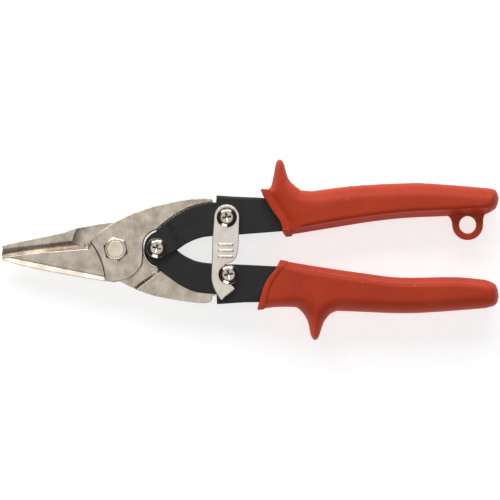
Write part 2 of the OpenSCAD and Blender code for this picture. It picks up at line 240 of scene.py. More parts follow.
def place_coords(tree, stretch=(1, 1, 1)):
    """The object's own coordinates in metres, stretched."""
    coords = tree.nodes.new("ShaderNodeTexCoord").outputs["Object"]
    mapping = add(tree, "ShaderNodeMapping", Scale=stretch)
    tree.links.new(coords, mapping.inputs["Vector"])
    return mapping.outputs["Vector"]


def noise(tree, coords, scale, detail=4.0, roughness=0.6):
    n = add(tree, "ShaderNodeTexNoise", Scale=scale, Detail=detail, Roughness=roughness)
    tree.links.new(coords, n.inputs["Vector"])
    return n.outputs["Fac"]


def ramp(tree, value, stops):
    n = tree.nodes.new("ShaderNodeValToRGB")
    while len(n.color_ramp.elements) < len(stops):
        n.color_ramp.elements.new(0.5)
    for element, (place, colour) in zip(n.color_ramp.elements, stops):
        element.position = place
        element.color = (*colour, 1) if hasattr(colour, "__len__") else (colour, colour, colour, 1)
    tree.links.new(value, n.inputs["Fac"])
    return n.outputs["Color"]


def calculate(tree, operation, a, b):
    n = add(tree, "ShaderNodeMath", operation=operation)
    for socket, value in zip(n.inputs, (a, b)):
        if isinstance(value, (int, float)):
            socket.default_value = value
        else:
            tree.links.new(value, socket)
    return n.outputs["Value"]


def mix(tree, factor, a, b, how="MIX"):
    n = add(tree, "ShaderNodeMix", data_type="RGBA", blend_type=how)
    sockets = (n.inputs[0], n.inputs[6], n.inputs[7])
    for socket, value in zip(sockets, (factor, a, b)):
        if isinstance(value, (int, float)):
            socket.default_value = value
        elif isinstance(value, tuple):
            socket.default_value = (*value, 1)
        else:
            tree.links.new(value, socket)
    return n.outputs[2]


def edges(tree, low, high):
    """1 on convex edges, 0 on flats."""
    pointiness = tree.nodes.new("ShaderNodeNewGeometry").outputs["Pointiness"]
    return ramp(tree, pointiness, [(low, 0.0), (high, 1.0)])


def bump(tree, shader, layers):
    """Layers of (height, distance in metres, strength), the broadest first."""
    previous = None
    for height, distance, strength in layers:
        n = add(tree, "ShaderNodeBump", Strength=strength, Distance=distance)
        tree.links.new(height, n.inputs["Height"])
        if previous:
            tree.links.new(previous, n.inputs["Normal"])
        previous = n.outputs["Normal"]
    tree.links.new(previous, shader.inputs["Normal"])


def finish_shader(tree, shader, colour, rough, metallic=0.0):
    tree.links.new(colour, shader.inputs["Base Color"])
    tree.links.new(rough, shader.inputs["Roughness"])
    shader.inputs["Metallic"].default_value = metallic


def steel(name, dark, light, rough_low, rough_high, grain=(1, 1, 1), edge=(0.9, 0.86, 0.8), wear=0.5):
    """Satin metal: cloudy tone, fine grain that may run one way, and brighter worn edges."""
    m, tree, shader = new_material(name)
    coords = place_coords(tree)
    cloud = noise(tree, coords, 140, 3)
    fine = noise(tree, place_coords(tree, grain), 1500, 3, 0.7)
    pits = noise(tree, coords, 900, 2, 0.5)
    tone = ramp(tree, calculate(tree, "ADD", calculate(tree, "MULTIPLY", cloud, 0.6),
                                calculate(tree, "MULTIPLY", fine, 0.4)), [(0.39, dark), (0.61, light)])
    worn = edges(tree, 0.51, 0.58)
    colour = mix(tree, calculate(tree, "MULTIPLY", worn, wear), tone, edge)
    rough = ramp(tree, fine, [(0.3, rough_low), (0.7, rough_high)])
    finish_shader(tree, shader, colour, rough, 1.0)
    bump(tree, shader, [(pits, 0.00004, 0.35), (fine, 0.00002, 0.5)])
    return m


def black_coat(name):
    """Satin black coating with orange peel, and a painted highlight that turns its convex edges lighter
    grey.
    """
    m, tree, shader = new_material(name)
    coords = place_coords(tree)
    peel = noise(tree, coords, 800, 2, 0.5)
    dust = noise(tree, coords, 120, 5, 0.65)
    tone = ramp(tree, dust, [(0.3, (0.015, 0.0144, 0.0142)), (0.7, (0.027, 0.026, 0.0255))])
    # painted highlight: convex edges mixed towards light grey
    edge_lightening = calculate(tree, "MULTIPLY", edges(tree, 0.54, 0.62), 0.4)
    colour = mix(tree, edge_lightening, tone, (0.15, 0.145, 0.14))
    rough = ramp(tree, dust, [(0.3, 0.5), (0.7, 0.62)])
    finish_shader(tree, shader, colour, rough)
    shader.inputs["Specular IOR Level"].default_value = 0.38
    bump(tree, shader, [(peel, 0.00006, 0.4)])
    return m


def grip_vinyl(name):
    """Matte moulded vinyl with a fine spark texture and slightly rubbed high spots."""
    m, tree, shader = new_material(name)
    coords = place_coords(tree)
    spark = noise(tree, coords, 2600, 2, 0.6)
    cloud = noise(tree, coords, 60, 4, 0.6)
    tone = ramp(tree, cloud, [(0.3, (0.53, 0.046, 0.014)), (0.7, (0.64, 0.062, 0.019))])
    edge_lightening = calculate(tree, "MULTIPLY", edges(tree, 0.52, 0.62), 0.5)
    colour = mix(tree, edge_lightening, tone, (0.82, 0.14, 0.07))
    rough = ramp(tree, cloud, [(0.3, 0.46), (0.7, 0.56)])
    finish_shader(tree, shader, colour, rough)
    shader.inputs["Specular IOR Level"].default_value = 0.24
    bump(tree, shader, [(spark, 0.00003, 0.5)])
    return m


def floor_paper(name):
    m, tree, shader = new_material(name)
    fibres = noise(tree, place_coords(tree), 300, 4)
    colour = ramp(tree, fibres, [(0.3, 0.5), (0.7, 0.54)])
    rough = ramp(tree, fibres, [(0.3, 0.85), (0.7, 0.95)])
    finish_shader(tree, shader, colour, rough)
    shader.inputs["Specular IOR Level"].default_value = 0.1
    shader.inputs["Emission Color"].default_value = (1, 1, 1, 1)
    shader.inputs["Emission Strength"].default_value = 0.72
    return m


materials = {
    "jaw_steel": steel("jaw steel", (0.46, 0.39, 0.32), (0.78, 0.68, 0.575), 0.25, 0.4, (1, 0.15, 1)),
    "bolt_steel": steel("bolt steel", (0.70, 0.59, 0.45), (0.97, 0.87, 0.73), 0.2, 0.36),
    "handle_black": black_coat("handle black"),
    "screw_nickel": steel("screw nickel", (0.52, 0.46, 0.40), (0.66, 0.59, 0.52), 0.12, 0.22, wear=0.2),
    "latch_zinc": steel("latch zinc", (0.78, 0.71, 0.62), (0.94, 0.89, 0.81), 0.26, 0.42),
    "spring_steel": steel("spring steel", (0.06, 0.06, 0.062), (0.13, 0.13, 0.13), 0.3, 0.45, wear=0),
    "grip_red": grip_vinyl("grip red"),
}


# ---- CAD nodes that stay: softened edges and better materials ----

EDGE_WIDTHS = {"pivot_washer": 0.15, "latch_washer": 0.1, "spring_sleeve": 0.2}


def soften(node, width):
    """Rounds a CAD node's sharp edges with modifiers, leaving its mesh as it is."""
    made = nodes[node]
    weld = made.modifiers.new("weld", "WELD")
    weld.merge_threshold = 0.00001
    flatten = made.modifiers.new("flatten", "DECIMATE")
    flatten.decimate_type = "DISSOLVE"
    flatten.angle_limit = math.radians(0.6)
    bevel = made.modifiers.new("bevel", "BEVEL")
    bevel.width = width * MM
    bevel.segments = 3
    bevel.limit_method = "ANGLE"
    bevel.angle_limit = math.radians(32)
    bevel.harden_normals = True


for part in frame["record"]["subparts"]:
    mesh = nodes[part["node"]].data
    mesh.materials.clear()
    mesh.materials.append(materials[part["material_slot"]])

for node_name, width in EDGE_WIDTHS.items():
    soften(node_name, width)


# ---- places and heights that several pieces share ----

def centre_of(node):
    """Middle of a CAD node in plan, in millimetres."""
    low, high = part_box(node)
    return (low.x + high.x) / 2 / MM, (low.y + high.y) / 2 / MM


def arc(centre, r, start, end, steps=12):
    """Points along an arc, with its angles in degrees."""
    angles = [math.radians(start + (end - start) * i / steps) for i in range(steps + 1)]
    return [np.array((centre[0] + r * math.cos(a), centre[1] + r * math.sin(a))) for a in angles]


HANDLE_PIVOT = centre_of("handle_screw")
UPPER_PIVOT = centre_of("upper_tail_screw")
LOWER_PIVOT = centre_of("lower_catch_screw")
COIL_CENTRE = (22, -0.6)

BOSS_T = 4.0             # thickness of each jaw at its boss
TAIL_HALF = 2.5          # half the thickness of a jaw's tail
WALL_IN = 2.8            # inner face of the handle walls, from the blades' plane
WALL_OUT = 4.8           # outer face of the handle walls
ARM_OUT = 6.9            # outer face of the upper arms
LATCH_LOW = 5.25         # lower face of the latch
LATCH_TOP = 7.15         # upper face of the latch
PLATE_STEP = pick_step(0.3)


# ---- jaws ----

upper_arm_edge = curve([(50, 23.5), (44, 22.8), (37.4, 20.9), (31.1, 17.7), (26.3, 14.5), (22.5, 11.3),
                        (18.6, 7.6)], 4)
lower_arm_edge = curve([(50.2, -22.4), (44.6, -21.9), (40.1, -21.3), (35.6, -19.7), (30.5, -16.8),
                        (23, -11.3), (19.4, -7.6)], 4)

front_jaw_plan = (curve([(-57.4, -3.8), (-40, -1.6), (-28, -0.7), (-14, 0.3)], 4)
                  + curve([(-13.2, 1.9), (-12.2, 4.8), (-5.2, 10.8), (5, 16.6), (17, 21.1), (29, 24),
                           (38, 25.3), (46.2, 25.6), (47.9, 24.8), (48.3, 23.5)], 5)
                  + arc(UPPER_PIVOT, 7.4, 100, -95, 20)
                  + curve([(48, 8.4), (41, 6.9), (33, 4.8), (27.5, 7.9), (20.2, 9.6), (15.6, 7),
                           (13.7, 3.4), (13.4, -3.5), (12.2, -9.2), (6.6, -14.4), (-1, -16.5)], 5)
                  + curve([(-7, -15.9), (-22, -13.3), (-40, -9.9), (-55, -6.2), (-57.1, -4.8)], 4))
rear_jaw_plan = (curve([(-57.2, -3.7), (-40, -2.1), (-14, -1.6)], 4)
                 + curve([(-13.2, -3), (-12, -6.4), (-4.6, -12.4), (5, -17.8), (17, -22.7), (29, -25.2),
                          (40, -26.8), (46.2, -26.6), (47.7, -25.2), (48, -23.4)], 5)
                 + [(54, -21), (60.4, -18)]
                 + arc(LOWER_PIVOT, 4.4, 0, 90, 10)
                 + curve([(48, -8.7), (41, -7.7), (34, -6.2), (30, -7.6)], 4)
                 + arc(COIL_CENTRE, 8.65, 305, 205)
                 + curve([(13.5, -2), (13.4, 1.5), (12.4, 8.2), (6.5, 13.2), (-1, 13.9)], 5)
                 + curve([(-10, 12.6), (-22, 10.2), (-28, 8.1), (-54.9, 2.5), (-56.6, 0.6),
                          (-57.4, -2.4)], 4))


def tilted(angle, roll, pitch):
    """Upward normal of a plane that is rolled, pitched, and then turned by an angle in plan."""
    a, b, c = math.radians(angle), math.radians(roll), math.radians(pitch)
    across, up = -math.sin(b), math.cos(b)
    along, up = up * math.sin(c), up * math.cos(c)
    return along * math.cos(a) - across * math.sin(a), along * math.sin(a) + across * math.cos(a), up


EDGE_R = 0.55            # rounding of a jaw's outer edges
HEEL_X = -5.6            # where the ground face of a blade starts
GRIND_DEPTH = 0.35
GRIND_SLOPE = 1.8        # in degrees, falling towards the tip
WHEEL_AT = (-36, 16.3)   # middle and radius of the grinding wheel's mark
WHEEL_R = 30.4
BACK_AT = 13.6           # the bevel along a blade's back edge: its place at the heel, turn and roll
BACK_TURN = 11.4
BACK_ROLL = 35
PAD_H = 1.6              # raised pad behind the cutting edge, with its bevel and scoop
PAD_END = -9
BEVEL_W = 3.85
SCOOP_IN = 15.5
SCOOP_W = 7.0
SCOOP_R = (SCOOP_W ** 2 + PAD_H ** 2) / (2 * PAD_H)
RAMP_START = 20.2        # ramp from the sliding face to the tail's full thickness
RAMP_W = 2.3
THROAT = (-14.9, 1.9)    # relief in the rear jaw where the cutting edges end
THROAT_R = 1.1           # its radius, and how far past the blades' plane it starts
BOLT_BORE = 4.06
SCREW_BORE = 3.06


def boss_height(x):
    """The outer face of a boss, falling to the tail in two slopes."""
    start, bend, bend_height = 33, 46, 2.9
    falling = smooth_min(BOSS_T - (x - start) * 0.0846, bend_height - (x - bend) * 0.1, 0.1)
    return np.maximum(smooth_min(BOSS_T, falling, 0.3), TAIL_HALF)


def ground_height(x, y, side):
    """The hollow-ground face of a blade and the bevel along its back edge."""
    heel_z = BOSS_T - GRIND_DEPTH
    face = heel_z + (x - HEEL_X) * math.tan(math.radians(GRIND_SLOPE))
    normal = tilted(BACK_TURN * side, -BACK_ROLL * side, -GRIND_SLOPE)
    back = heel_z - (normal[0] * (x - HEEL_X) + normal[1] * (y - side * BACK_AT)) / normal[2]
    outside_wheel = np.hypot(x - WHEEL_AT[0], y - side * WHEEL_AT[1]) - WHEEL_R
    return smooth_min(face, back, 0.25) + np.maximum(outside_wheel, 0) * 1.4


def pad_depth(x, y, side, pad_at, pad_turn):
    """How far the pad stands past the sliding face: flat, bevelled and scooped."""
    line = math.radians(pad_turn)
    to_edge = side * ((x - pad_at[0]) * math.sin(line) - (y - pad_at[1]) * math.cos(line))
    bevel = PAD_H * (1 - to_edge / BEVEL_W)
    swing = np.clip(np.hypot(x, y) - SCOOP_IN, 0, SCOOP_W + 3)
    scoop = SCOOP_R - np.sqrt(np.maximum(SCOOP_R ** 2 - swing ** 2, 0))
    low = smooth_min(smooth_min(PAD_H, bevel, 0.12), scoop, 0.12)
    return np.where(x < PAD_END, np.maximum(low, 0), 0)


def jaw_field(plan, side, arm_edge, pad_at, pad_turn, tail_turn, pivot, has_throat):
    """A jaw with its outer face up, and its blade on one side of the X axis."""
    pocket = ([(px - 0.3, py - 0.3 * side) for px, py in arm_edge]
              + [(12.5, 30 * side), (90, 30 * side), (90, -28 * side), (50.3, -28 * side)])
    tail = math.radians(tail_turn)

    def field(x, y, z):
        inside = to_outline(x, y, plan)
        r = np.hypot(x, y)
        top = smooth_min(boss_height(x), ground_height(x, y, side), 0.25)
        top = smooth_min(top, TAIL_HALF + np.maximum(to_outline(x, y, pocket), 0) * 8, 0.1)
        low = pad_depth(x, y, side, pad_at, pad_turn)
        t = np.clip((x * math.cos(tail) + y * math.sin(tail) - RAMP_START) / RAMP_W, 0, 1)
        low = np.maximum(low, t * t * (3 - 2 * t) * TAIL_HALF)
        solid = smooth_max(rounded(inside, z - top, EDGE_R), -low - z, 0.12)
        bores = np.minimum(r - BOLT_BORE, np.hypot(x - pivot[0], y - pivot[1]) - SCREW_BORE)
        if has_throat:
            relief = np.hypot(x - THROAT[0], y - THROAT[1]) - THROAT_R
            bores = np.minimum(bores, np.maximum(relief, z - THROAT_R))
        return smooth_max(solid, -bores, 0.1)

    return field


front_jaw_solid = jaw_field(front_jaw_plan, -1, upper_arm_edge, (-18.1, -6.1), 3.3, 56.4,
                            UPPER_PIVOT, False)
rear_jaw_up = jaw_field(rear_jaw_plan, 1, lower_arm_edge, (-18.1, 4.9), 6.8, -52.8,
                        LOWER_PIVOT, True)


def rear_jaw_solid(x, y, z):
    return rear_jaw_up(x, y, -z)


model("front_jaw_forging", front_jaw_solid, (-57.5, -16.6, -2.5), (63, 25.7, 4), PLATE_STEP,
      "front_jaw", "jaw_steel", "front_jaw")
model("rear_jaw_forging", rear_jaw_solid, (-57.5, -26.9, -4), (61, 14, 2.5), PLATE_STEP,
      "rear_jaw", "jaw_steel", "rear_jaw")


# ---- handles ----

upper_back = [(50.2, 27), (59, 26.4), (71, 25.9), (80, 25), (92, 25.2), (100, 25.9)]
lower_back = [(50.4, -27.4), (64, -26.5), (71, -26.4), (80, -25.6), (92, -26), (100, -26.5)]
upper_wall = (upper_back[::-1] + upper_arm_edge + arc(HANDLE_PIVOT, 5.5, 150, 310, 18)
              + curve([(27.2, -1.9), (30.4, -0.2), (35, 2.9), (41, 5.5), (47, 6.6), (62, 7.5),
                       (83, 9.1)], 4)
              + [(92, 11.5), (100, 13)])
lower_wall = (lower_back[::-1] + lower_arm_edge + arc(HANDLE_PIVOT, 6.4, 225, 145, 10)
              + [(16.6, 6.6), (18.3, 7.4)] + arc(HANDLE_PIVOT, 6.4, 85, 45, 6)
              + curve([(29.2, 0.6), (32, -1.8), (35, -3.7), (40.9, -6.1), (50, -7.2), (62, -7.6),
                       (81, -8.5)], 4)
              + [(92, -11.5), (100, -12.6)])


SHEET_T = 2.0
SHEET_EDGE_R = 0.42
FOLD_R = 1.5             # outer radius of the fold along the back
WEB_START = 50.6
STEP_START = 7.6         # where the upper arms start to step in, from the handle pivot
STEP_LEN = 5.6
UPPER_END = 97.6         # where the sheet stops inside the grips
LOWER_END = 95.6
OPEN_BORE = 3.4          # the lower handle's bore round the handle screw, where the linkage is left open


def handle_field(plan, back, bore, tail_pivot, raised, end):
    """A folded sheet handle: two walls joined by a web along the back, with stepped arms if raised."""
    reach = np.array(tail_pivot) - np.array(HANDLE_PIVOT)
    reach = reach / np.linalg.norm(reach)

    def field(x, y, z):
        z = np.abs(z)
        from_pivot = (x - HANDLE_PIVOT[0]) * reach[0] + (y - HANDLE_PIVOT[1]) * reach[1]
        t = np.clip((from_pivot - STEP_START) / STEP_LEN, 0, 1)
        lift = raised * (1 - t * t * (3 - 2 * t))
        from_back = to_line(x, y, back)
        outside = rounded(to_outline(x, y, plan), z - WALL_OUT - lift, SHEET_EDGE_R)
        fold = np.hypot(np.maximum(FOLD_R - from_back, 0), np.maximum(z - WALL_OUT + FOLD_R, 0)) - FOLD_R
        folded = (x > WEB_START) & (from_back < FOLD_R)
        outside = np.where(folded, np.maximum(outside, fold), outside)
        channel = np.maximum(z - WALL_IN - lift, SHEET_T - from_back)
        solid = smooth_max(outside, -channel, 0.1)
        pivots = np.minimum(np.hypot(x - HANDLE_PIVOT[0], y - HANDLE_PIVOT[1]) - bore,
                            np.hypot(x - tail_pivot[0], y - tail_pivot[1]) - SCREW_BORE)
        return np.maximum(np.maximum(solid, -pivots), x - end)

    return field


model("upper_handle_sheet",
      handle_field(upper_wall, upper_back, SCREW_BORE, UPPER_PIVOT, ARM_OUT - WALL_OUT, UPPER_END),
      (14.5, -5, -7), (98, 27.1, 7), PLATE_STEP, "upper_handle", "handle_black", "upper_handle")
model("lower_handle_sheet",
      handle_field(lower_wall, lower_back, OPEN_BORE, LOWER_PIVOT, 0, LOWER_END),
      (14, -27.5, -5), (96, 8, 5), PLATE_STEP, "lower_handle", "handle_black", "lower_handle")


# ---- latch ----

LATCH_W = 12.7
LATCH_EDGE_R = 0.4
LATCH_RATIO = 2.0        # turn of the latch on its handle for each degree of jaw opening
HANDLE_RATIO = 0.325     # turn of each handle on its jaw, the other way
SLOT_R = 1.85
RIB_MIDDLE = (54.8, -0.6)
RIB_PITCH = 3
RIB_HALF_LEN = 3.1
RIB_R = 0.55
RIB_H = 0.33

latch_plan = (arc(UPPER_PIVOT, LATCH_W / 2, 0, 180, 24)
              + curve([(48.3, 6.7), (47.9, -4.8), (47.6, -13.6), (48.2, -17.4), (50, -21.6),
                       (52.4, -25)], 5)
              + [(53, -25.2), (54.1, -23.9)] + curve([(58.7, -20.4), (60, -18.7), (59.6, -17.6)], 4)
              + [LOWER_PIVOT]
              + curve([(54, -9.5), (54.2, -7.9), (55.1, -7.2), (58.2, -6), (60.2, -3.4), (61.2, 1)], 5))


def turned(p, centre, degrees):
    a = math.radians(degrees)
    dx, dy = p[0] - centre[0], p[1] - centre[1]
    return (centre[0] + dx * math.cos(a) - dy * math.sin(a),
            centre[1] + dx * math.sin(a) + dy * math.cos(a))


# The catch screw's path as the latch sees it, for each degree that the jaws open
catch_path = [turned(turned(LOWER_PIVOT, (0, 0), -opened), UPPER_PIVOT,
                     (LATCH_RATIO - HANDLE_RATIO) * opened)
              for opened in range(13)]


def latch_solid(x, y, z):
    """The latch plate with its hook and three embossed ribs for the thumb."""
    slot = to_line(x, y, catch_path) - SLOT_R
    hole = np.hypot(x - UPPER_PIVOT[0], y - UPPER_PIVOT[1]) - SCREW_BORE
    plan = np.maximum(to_outline(x, y, latch_plan), -np.minimum(slot, hole))
    middle_z = (LATCH_LOW + LATCH_TOP) / 2
    plate = rounded(plan, abs(z - middle_z) - (LATCH_TOP - LATCH_LOW) / 2, LATCH_EDGE_R)
    for k in (-1, 0, 1):
        past_end = np.maximum(abs(x - RIB_MIDDLE[0]) - RIB_HALF_LEN, 0)
        rib = np.hypot(past_end, y - RIB_MIDDLE[1] - RIB_PITCH * k) - RIB_R
        plate = smooth_min(plate, rounded(rib, abs(z - LATCH_TOP) - RIB_H, 0.3), 0.25)
    return plate


model("latch_plate", latch_solid, (47.4, -25.4, LATCH_LOW), (61.9, 22.4, LATCH_TOP + 0.4),
      pick_step(0.2), "latch", "latch_zinc", "latch")


# ---- grips ----

GRIP_HALF = 9.9          # half the thickness of a grip at the palm
NECK_HALF = 8.2          # half its thickness behind the collar
COLLAR_HALF = 8.9        # half the thickness of the collar
PARTING = 0.9            # half the flat strip left along the moulding line
DRAFT_W = 2.4            # width in plan of the steep wall on the inner side
DRAFT_SLOPE = 2.05       # how steep it is


def outer_side(s, reach=10.5):
    """Height of the well rounded palm side at a distance from its edge."""
    t = np.clip(s / reach, 0, 1)
    return PARTING + (GRIP_HALF + 0.6 - PARTING) * np.sqrt(1 - (1 - t) ** 2)


def inner_side(s):
    """Height of the inner side: a steep drafted wall, then a tighter corner."""
    wall_top = PARTING + DRAFT_SLOPE * DRAFT_W
    t = np.clip((s - DRAFT_W) / 3.4, 0, 1)
    corner = (GRIP_HALF + 0.4 - wall_top) * np.sqrt(1 - (1 - t) ** 2)
    return PARTING + DRAFT_SLOPE * np.clip(s, 0, DRAFT_W) + corner


def grip_field(outer, end, inner, front, collar, wall, room_end, facet):
    """The solid of a grip: body, collar lip and thumb stop, open where the handle goes in."""
    outline = outer + end[1:] + inner[1:] + front[1:-1]
    palm_start, palm_end = outer[0][0] + 2, outer[0][0] + 30
    lip_end = [collar[len(collar) // 2 - 1], collar[len(collar) // 2]]

    def field(x, y, z):
        z = np.abs(z)
        t = np.clip((x - palm_start) / (palm_end - palm_start), 0, 1)
        full = NECK_HALF + (GRIP_HALF - NECK_HALF) * t * t * (3 - 2 * t)
        height = smooth_min(outer_side(to_line(x, y, outer)), inner_side(to_line(x, y, inner)), 0.5)
        height = smooth_min(height, outer_side(to_line(x, y, end), 7), 0.8)
        if facet:
            height = smooth_min(height, NECK_HALF - 2.2 + facet * to_line(x, y, front), 0.3)
        height = smooth_min(height, full, 1.2)
        body = np.maximum(z - height, to_outline(x, y, outline))
        lip_height = smooth_min(COLLAR_HALF, inner_side(to_line(x, y, lip_end)) + 0.9, 0.8)
        lip = rounded(to_outline(x, y, collar), z - lip_height, 0.6)
        room = rounded(to_outline(x, y, wall), z - 4.9, 0.1)
        room = np.maximum(room, x - room_end)
        return np.maximum(smooth_min(body, lip, 0.3), -room)

    return field


# The upper grip in plan: palm side with its thumb stop, butt end, inner side and neck
upper_outer = (curve([(75.6, 29.9), (77.4, 31.5), (78.7, 37), (80, 43.4), (81.8, 45), (83.6, 43.4),
                      (84.8, 39.2), (86.3, 35), (88.6, 32.4), (92.4, 29.5)], 5)
               + curve([(98, 29.1), (118.8, 31.7), (148, 33.1), (166.7, 32.2), (184.6, 30.7)], 5))
upper_end = curve([(184.6, 30.7), (189.4, 29.7), (191.1, 25.6), (189.6, 20.5), (185, 17.6)], 5)
upper_inner = curve([(185, 17.6), (176, 17.3), (163.7, 16.6), (145.7, 15.8), (127.7, 13.9), (103.8, 10.1),
                     (86.2, 7.2)], 5)
upper_front = curve([(86.2, 7.2), (84.4, 13.4), (79.8, 20.4), (76.4, 26), (75.6, 29.9)], 4)
upper_collar = (curve([(72.2, 30.1), (74, 26), (77.6, 20), (82, 13.6), (83.4, 8.6), (85, 6.2)], 4)
                + curve([(88.2, 6.6), (87.2, 9.6), (85.6, 13.8), (81.2, 20.8), (78.2, 26),
                         (76.6, 29.9)], 4))

# The lower grip in plan, the same way round
lower_outer = (curve([(72.6, -29.8), (80, -28.9), (88.8, -28.9), (91.8, -30.2), (94.8, -33.9),
                      (96.3, -37.8), (97.4, -43), (99.2, -45.4), (101, -44.2), (102.4, -40.3),
                      (103.9, -36.2), (106.8, -32.5), (110.5, -30.8)], 5)
               + curve([(121.8, -31.2), (142.7, -32), (160.7, -31.3), (184, -29.5)], 5))
lower_end = curve([(184, -29.5), (189.6, -27.8), (191.1, -23), (189.6, -17.6), (184.6, -15.2)], 5)
lower_inner = curve([(184.6, -15.2), (170, -13.9), (142.7, -14.1), (124.8, -12.1), (100.8, -8.6),
                     (84, -5.8)], 5)
lower_front = curve([(84, -5.8), (81.4, -9.4), (77.2, -14.8), (74.6, -20.4), (72.6, -29.8)], 4)
lower_collar = (curve([(70.5, -30.2), (73.1, -20.3), (75.6, -14.7), (80, -9.1), (82, -5.2)], 4)
                + curve([(85.8, -5.8), (84, -8.6), (79, -14.6), (76.2, -20.6), (74, -29.8)], 4))

# Plan of the sheet handles where they enter the grips
upper_room = [(60, 26.3), (60, 7.3), (83, 9), (92, 11.4), (104, 13.4), (104, 26.3), (92, 25.3),
              (80, 25.1), (71, 26)]
lower_room = [(60, -26.8), (71, -26.5), (80, -25.7), (92, -26.1), (104, -26.9), (104, -13.2), (92, -11.4),
              (81, -8.4), (60, -7.4)]

HANG_CENTRE = (175.9, 12.3)
HANG_R = 4.35
LOOP_R = 7.6
LOOP_HALF = 1.75


def hanging_loop(x, y, z):
    """The flat tab under the upper grip's end, with flared roots, before its hole is cut."""
    cx, cy = HANG_CENTRE
    root = 6.6
    tab = to_outline(x, y, [(cx - 12, cy + root), (cx - 5.5, cy + 0.5), (cx + 5.5, cy + 0.5),
                            (cx + 9.5, cy + root)])
    plan = smooth_min(np.hypot(x - cx, y - cy) - LOOP_R, tab, 2.5)
    plan = np.maximum(plan, y - cy - root)
    return rounded(plan, np.abs(z) - LOOP_HALF, 0.45)


def hang_hole(x, y):
    return np.hypot(x - HANG_CENTRE[0], y - HANG_CENTRE[1]) - HANG_R


upper_body = grip_field(upper_outer, upper_end, upper_inner, upper_front, upper_collar, upper_room,
                        UPPER_END + 0.4, 0.42)
lower_body = grip_field(lower_outer, lower_end, lower_inner, lower_front, lower_collar, lower_room,
                        LOWER_END + 0.4, 0)


def upper_grip_solid(x, y, z):
    return np.maximum(smooth_min(upper_body(x, y, z), hanging_loop(x, y, z), 0.3), -hang_hole(x, y))


GRIP_STEP = pick_step(0.5)
model("upper_grip_moulding", upper_grip_solid, (72, 4, -10), (191.5, 45.5, 10), GRIP_STEP,
      "upper_handle", "grip_red", "upper_grip")
model("lower_grip_moulding", lower_body, (70, -46, -10), (191.5, -5, 10), GRIP_STEP,
      "lower_handle", "grip_red", "lower_grip")


# ---- bolt, screws and nuts ----

def to_hexagon(x, y, across, corner):
    """Signed distance to a hexagon round the axis, with a corner at an angle in degrees."""
    sides = [abs(x * math.cos(a) + y * math.sin(a)) for a in
             (math.radians(corner + 30 + 60 * k) for k in range(3))]
    return np.maximum(np.maximum(sides[0], sides[1]), sides[2]) - across / 2


def chamfer(r, z, top, flat_r):
    """A shallow cone that takes the corners off a hexagon's face."""
    return (z - top) * 0.88 + (r - flat_r) * 0.48


def thread(x, y, z, r, pitch=1.0):
    """A screw thread round the axis."""
    along = z / pitch - np.arctan2(y, x) / (2 * math.pi)
    return np.hypot(x, y) - r + 0.3 * pitch * abs(2 * (along % 1) - 1)


BOLT_AF = 11.1
BOLT_HEAD = 4.2


def bolt_solid(x, y, z):
    """The main pivot bolt: chamfered hexagon head with a ring pressed into its face, and its shank."""
    r = np.hypot(x, y)
    up = z - BOSS_T
    head = rounded(to_hexagon(x, y, BOLT_AF, 43), up - BOLT_HEAD, 0.25)
    head = smooth_max(head, chamfer(r, up, BOLT_HEAD, 5.05), 0.2)
    head = np.maximum(head, -up)
    head = smooth_max(head, 0.22 - np.hypot(r - 4.35, (up - BOLT_HEAD - 0.02) * 0.8), 0.1)
    shank = np.maximum(r - 4, np.maximum(up - 1, -MID_Z + 0.4 - z))
    threads = np.maximum(thread(x, y, z, 4.0, 1.25), np.maximum(z + 5.5, -MID_Z + 0.3 - z))
    shank = np.maximum(shank, -np.maximum(z + 5.5, 3.4 - r))
    return np.minimum(np.minimum(head, shank), threads)


def nut_solid(across, height, bore, corner):
    def field(x, y, z):
        r = np.hypot(x, y)
        body = rounded(to_hexagon(x, y, across, corner), abs(z - height / 2) - height / 2, 0.15)
        body = smooth_max(body, chamfer(r, abs(z - height / 2), height / 2, across / 2 - 0.1), 0.1)
        sink = bore + 0.5 - (height / 2 - abs(z - height / 2)) * 1.2
        return np.maximum(body, np.maximum(sink, bore) - r)
    return field


def screw_solid(head_at, end_at, thread_at, cross_turn, neck=None):
    """A pan head cross-recess screw. Heights are above the plane of the blades."""
    profile = ([(-1, 0), (5.05, 0), (5.05, 0.8)]
               + curve([(5.05, 0.85), (4.6, 1.25), (3.9, 1.78), (3.3, 2.18), (2.8, 2.33)], 3)
               + [(0, 2.38), (-1, 2.38)])
    a = math.radians(cross_turn)

    def field(x, y, z):
        r = np.hypot(x, y)
        up = z - head_at
        head = to_outline(r, up, profile)
        u, v = abs(x * math.cos(a) + y * math.sin(a)), abs(y * math.cos(a) - x * math.sin(a))
        arm = 0.36 + 0.14 * (up - 1.2)
        cross = np.minimum(np.maximum(u - 2.15, v - arm), np.maximum(v - 2.15, u - arm))
        cross = smooth_min(cross, r - 0.75, 0.3)
        recess = np.maximum(cross, 0.75 + 0.5 * r - up)
        head = smooth_max(head, -recess, 0.12)
        plain = np.maximum(r - 2.97, np.maximum(up - 0.5, thread_at - z))
        if neck:
            plain = np.maximum(plain, -np.maximum(neck[0] - r, np.maximum(neck[1] - z, z - head_at)))
        cut = np.maximum(thread(x, y, z, 2.97), np.maximum(z - thread_at - 0.3, end_at - z))
        return np.minimum(np.minimum(head, plain), cut)

    return field


def fastener(node, body, field, half, low, high, step=0.17, base=MID_Z):
    """Makes a fastener at the place of its CAD node, which it replaces."""
    cx, cy = centre_of(node)
    slot = "bolt_steel" if node == "pivot_bolt" else "screw_nickel"
    model(node + "_detail", field, (-half, -half, low), (half, half, high), pick_step(step),
          body, slot, node, (cx, cy, base))


